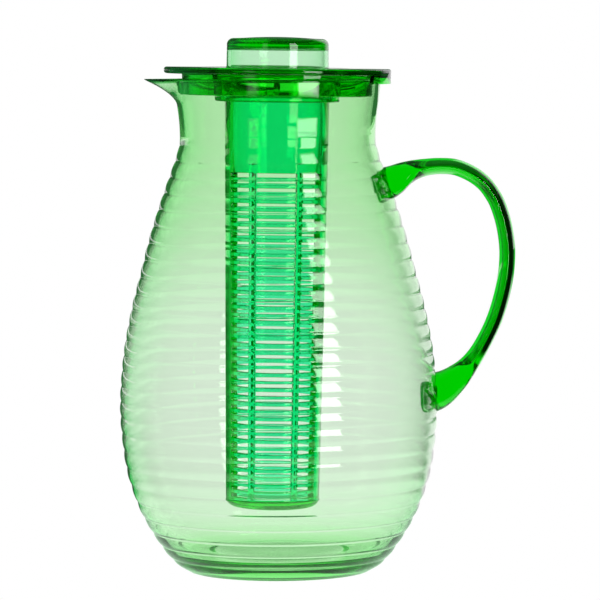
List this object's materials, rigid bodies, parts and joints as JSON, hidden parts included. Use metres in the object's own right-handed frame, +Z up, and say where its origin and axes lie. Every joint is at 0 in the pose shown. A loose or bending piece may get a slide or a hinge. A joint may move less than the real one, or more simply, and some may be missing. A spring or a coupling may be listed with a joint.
{
  "type": "infuser pitcher",
  "caption": "Ribbed see-through pitcher with a small pulled spout, a bonded bar handle, a plug lid with a hollow knob, and a slotted infuser tube that hangs from the lid.",
  "frame": {"origin": "on the table, under the middle of the whole outline seen from above; the pitcher's own axis is 19.05 mm from it towards the spout", "axes": "+Z up along the pitcher's axis; +X towards the handle, -X towards the spout; +Y to the back of the view in the picture"},
  "size_m": [0.1934, 0.1554, 0.2606],
  "materials": {
    "body_plastic": "clear, pale green tint, glossy",
    "handle_plastic": "clear, deep green in its full thickness, glossy",
    "lid_plastic": "clear, deep green edge on, glossy",
    "knob_plastic": "clear, pale green walls, glossy",
    "infuser_plastic": "clear, emerald green, glossy"
  },
  "bodies": {
    "pitcher": {"pitcher_body": "body_plastic", "handle": "handle_plastic"},
    "lid": {"lid": "lid_plastic", "lid_knob": "knob_plastic"},
    "infuser": {"infuser_collar": "infuser_plastic", "infuser_tube": "infuser_plastic"}
  },
  "joints": [
    {"name": "lid_lift", "type": "slide", "parent": "pitcher", "child": "lid", "axis": [0, 0, 1], "range_m": [0, 0.235]},
    {"name": "infuser_twist", "type": "hinge", "parent": "lid", "child": "infuser", "pos_m": [-0.01917, 0, 0.2345], "axis": [0.0157, 0, 0.9999], "range_deg": [0, 60]}
  ]
}
